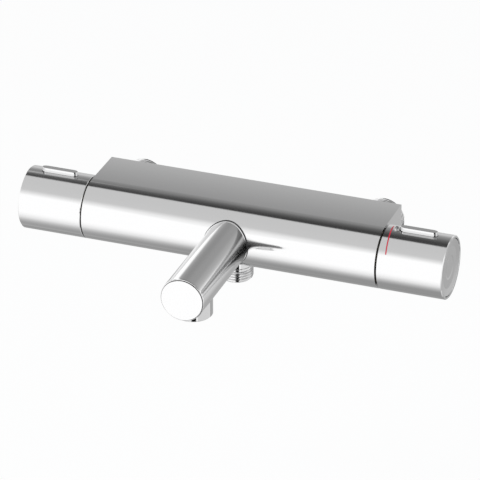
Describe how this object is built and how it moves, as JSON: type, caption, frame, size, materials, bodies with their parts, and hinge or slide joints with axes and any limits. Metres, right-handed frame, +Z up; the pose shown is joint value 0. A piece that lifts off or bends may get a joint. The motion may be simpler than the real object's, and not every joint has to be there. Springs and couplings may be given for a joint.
{
  "type": "thermostatic bath mixer",
  "caption": "Wall-mounted thermostatic bath mixer: round bar on a flat block, a turning handle at each end, a round forward spout, a threaded shower outlet below and wall inlets behind.",
  "frame": {"origin": "midway between the two inlets' end faces, in the plane that meets the wall unions", "axes": "+X along the bar towards the temperature handle, +Y into the wall, +Z up"},
  "size_m": [0.278, 0.147, 0.054],
  "materials": {
    "chrome": "polished",
    "chrome_satin": "satin",
    "brass": "machined",
    "steel": "bright",
    "rubber": "matte",
    "fibre": "matte",
    "cream_plastic": "moulded",
    "dark_plastic": "moulded",
    "blue_plastic": "moulded",
    "red_enamel": "gloss",
    "copper": "bright",
    "ceramic": "ground"
  },
  "bodies": {
    "mixer": {"body_shell": "chrome", "inlet_nipple_hot": "chrome", "inlet_nipple_cold": "chrome", "inlet_gaskets": "fibre", "strainer_hot": "steel", "strainer_cold": "steel", "check_valve_hot": "cream_plastic", "check_valve_cold": "cream_plastic", "poppet_spring_hot": "steel", "poppet_spring_cold": "steel", "shower_nipple": "chrome", "shower_gasket": "rubber", "check_valve_shower": "cream_plastic", "poppet_spring_shower": "steel", "spout_gasket": "rubber", "spout_base_ring": "chrome", "spout_tube": "chrome", "spout_end_cap": "chrome", "spout_connector": "brass", "spout_seals": "rubber", "spout_grub_screw": "steel", "outlet_housing": "chrome", "aerator_insert": "cream_plastic", "aerator_seal": "rubber", "thermostat_sleeve": "cream_plastic", "thermostat_seals": "rubber", "thermostat_nut": "brass", "return_spring": "steel", "temperature_stop_ring": "cream_plastic", "flow_cartridge": "cream_plastic", "flow_seals": "rubber", "flow_nut": "brass", "fixed_disc": "ceramic", "flow_stop_ring": "cream_plastic"},
    "temperature_handle": {"temperature_knob": "chrome", "temperature_mark": "red_enamel", "temperature_insert": "cream_plastic", "temperature_screw": "steel", "temperature_knob_cap": "chrome_satin", "temperature_spindle": "brass", "safety_spring": "steel"},
    "safety_stop": {"safety_button": "chrome"},
    "regulator": {"regulating_slide": "dark_plastic", "wax_element": "copper"},
    "flow_handle": {"flow_knob": "chrome", "flow_insert": "cream_plastic", "flow_screw": "steel", "flow_knob_cap": "chrome_satin", "flow_spindle": "brass", "moving_disc": "ceramic", "eco_spring": "steel"},
    "eco_stop": {"eco_button": "chrome"},
    "hot_poppet": {"poppet_hot": "blue_plastic"},
    "cold_poppet": {"poppet_cold": "blue_plastic"},
    "shower_poppet": {"poppet_shower": "blue_plastic"}
  },
  "joints": [
    {"name": "temperature_handle_turn", "type": "hinge", "parent": "mixer", "child": "temperature_handle", "pos_m": [0, -0.051, 0], "axis": [1, 0, 0], "range_deg": [-90, 180]},
    {"name": "safety_stop_press", "type": "slide", "parent": "temperature_handle", "child": "safety_stop", "axis": [0, 0, -1], "range_m": [0, 0.0012], "stiffness_N_per_m": 2000, "springref_m": -0.0006, "deforming": ["safety_spring"]},
    {"name": "regulator_slide", "type": "slide", "parent": "mixer", "child": "regulator", "axis": [1, 0, 0], "range_m": [-0.0012, 0.0012], "deforming": ["return_spring"]},
    {"name": "flow_handle_turn", "type": "hinge", "parent": "mixer", "child": "flow_handle", "pos_m": [0, -0.051, 0], "axis": [1, 0, 0], "range_deg": [-90, 90]},
    {"name": "eco_stop_press", "type": "slide", "parent": "flow_handle", "child": "eco_stop", "axis": [0, 0, -1], "range_m": [0, 0.0012], "stiffness_N_per_m": 2000, "springref_m": -0.0006, "deforming": ["eco_spring"]},
    {"name": "hot_poppet_slide", "type": "slide", "parent": "mixer", "child": "hot_poppet", "axis": [0, -1, 0], "range_m": [0, 0.002], "stiffness_N_per_m": 200, "springref_m": -0.002, "deforming": ["poppet_spring_hot"]},
    {"name": "cold_poppet_slide", "type": "slide", "parent": "mixer", "child": "cold_poppet", "axis": [0, -1, 0], "range_m": [0, 0.002], "stiffness_N_per_m": 200, "springref_m": -0.002, "deforming": ["poppet_spring_cold"]},
    {"name": "shower_poppet_slide", "type": "slide", "parent": "mixer", "child": "shower_poppet", "axis": [0, 0, -1], "range_m": [0, 0.002], "stiffness_N_per_m": 200, "springref_m": -0.002, "deforming": ["poppet_spring_shower"]}
  ],
  "couplings": [
    {"joint": "regulator_slide", "follows": "temperature_handle_turn", "m_per_rad": -0.00035}
  ]
}
